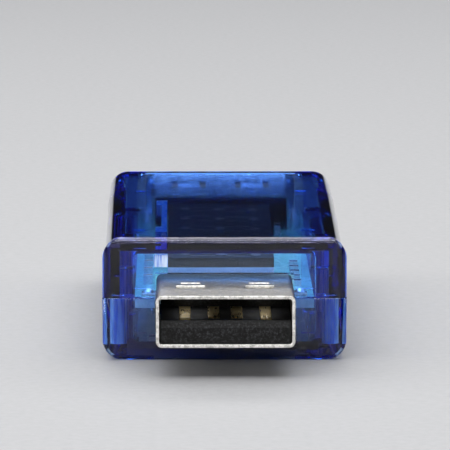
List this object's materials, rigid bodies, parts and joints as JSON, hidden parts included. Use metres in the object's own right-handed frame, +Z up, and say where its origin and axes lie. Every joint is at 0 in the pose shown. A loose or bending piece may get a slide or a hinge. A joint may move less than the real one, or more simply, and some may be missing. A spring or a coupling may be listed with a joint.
{
  "type": "usb power meter",
  "caption": "In-line dongle that shows the voltage and current passing from its plug to its socket on a digit display under a clear blue case.",
  "frame": {"origin": "on the surface that the case rests on, half way along the overall length and on the plug's centre line", "axes": "+Y from the plug's mouth to the socket, along the overall length; +Z up through the display's face; +X to the right when looking into the socket's direction from the plug"},
  "size_m": [0.0216, 0.067, 0.0108],
  "materials": {
    "clear_blue_plastic": "polished",
    "green_laminate": "satin",
    "nickel_plate": "satin",
    "socket_plate": "satin",
    "black_insulator": "matte",
    "gold_plate": "gloss",
    "display_housing": "satin",
    "display_light_bar": "satin",
    "display_resin": "gloss",
    "tinned_metal": "satin",
    "chip_plastic": "matte",
    "capacitor_ceramic": "matte",
    "tantalum_resin": "matte",
    "resistor_glaze": "gloss",
    "solder": "satin"
  },
  "bodies": {
    "meter": {"top_cover": "clear_blue_plastic", "bottom_cover": "clear_blue_plastic", "circuit_board": "green_laminate", "plug_shell": "nickel_plate", "plug_insulator": "black_insulator", "plug_contact_power": "gold_plate", "plug_contact_data_minus": "gold_plate", "plug_contact_data_plus": "gold_plate", "plug_contact_ground": "gold_plate", "socket_shell": "socket_plate", "socket_insulator": "black_insulator", "socket_contact_tails": "gold_plate", "display_body": "display_housing", "display_segments": "display_light_bar", "display_potting": "display_resin", "display_pins": "tinned_metal", "microcontroller": "chip_plastic", "microcontroller_leads": "tinned_metal", "sense_amplifier": "chip_plastic", "sense_amplifier_leads": "tinned_metal", "voltage_regulator": "chip_plastic", "voltage_regulator_leads": "tinned_metal", "shunt_resistor": "resistor_glaze", "shunt_terminals": "tinned_metal", "bulk_capacitor": "tantalum_resin", "bulk_capacitor_terminals": "tinned_metal", "chip_capacitors": "capacitor_ceramic", "chip_capacitor_ends": "tinned_metal", "chip_resistors": "resistor_glaze", "chip_resistor_ends": "tinned_metal", "plug_solder": "solder", "socket_solder": "solder", "pin_solder": "solder"},
    "power_contact": {"socket_contact_power": "gold_plate"},
    "data_minus_contact": {"socket_contact_data_minus": "gold_plate"},
    "data_plus_contact": {"socket_contact_data_plus": "gold_plate"},
    "ground_contact": {"socket_contact_ground": "gold_plate"},
    "top_left_spring": {"socket_spring_top_left": "socket_plate"},
    "top_right_spring": {"socket_spring_top_right": "socket_plate"},
    "bottom_left_spring": {"socket_spring_bottom_left": "socket_plate"},
    "bottom_right_spring": {"socket_spring_bottom_right": "socket_plate"}
  },
  "joints": [
    {"name": "power_contact_flex", "type": "hinge", "parent": "meter", "child": "power_contact", "pos_m": [0.0035, 0.0223, 0.0063], "axis": [1, 0, 0], "range_deg": [0, 3.2], "stiffness_Nm_per_rad": 0.15},
    {"name": "data_minus_contact_flex", "type": "hinge", "parent": "meter", "child": "data_minus_contact", "pos_m": [0.001, 0.0223, 0.0063], "axis": [1, 0, 0], "range_deg": [0, 3.2], "stiffness_Nm_per_rad": 0.15},
    {"name": "data_plus_contact_flex", "type": "hinge", "parent": "meter", "child": "data_plus_contact", "pos_m": [-0.001, 0.0223, 0.0063], "axis": [1, 0, 0], "range_deg": [0, 3.2], "stiffness_Nm_per_rad": 0.15},
    {"name": "ground_contact_flex", "type": "hinge", "parent": "meter", "child": "ground_contact", "pos_m": [-0.0035, 0.0223, 0.0063], "axis": [1, 0, 0], "range_deg": [0, 3.2], "stiffness_Nm_per_rad": 0.15},
    {"name": "top_left_spring_flex", "type": "hinge", "parent": "meter", "child": "top_left_spring", "pos_m": [-0.00305, 0.0317, 0.00851], "axis": [-1, 0, 0], "range_deg": [0, 4.5], "stiffness_Nm_per_rad": 0.25},
    {"name": "top_right_spring_flex", "type": "hinge", "parent": "meter", "child": "top_right_spring", "pos_m": [0.00305, 0.0317, 0.00851], "axis": [-1, 0, 0], "range_deg": [0, 4.5], "stiffness_Nm_per_rad": 0.25},
    {"name": "bottom_left_spring_flex", "type": "hinge", "parent": "meter", "child": "bottom_left_spring", "pos_m": [-0.00305, 0.0317, 0.00309], "axis": [1, 0, 0], "range_deg": [0, 4.5], "stiffness_Nm_per_rad": 0.25},
    {"name": "bottom_right_spring_flex", "type": "hinge", "parent": "meter", "child": "bottom_right_spring", "pos_m": [0.00305, 0.0317, 0.00309], "axis": [1, 0, 0], "range_deg": [0, 4.5], "stiffness_Nm_per_rad": 0.25}
  ]
}
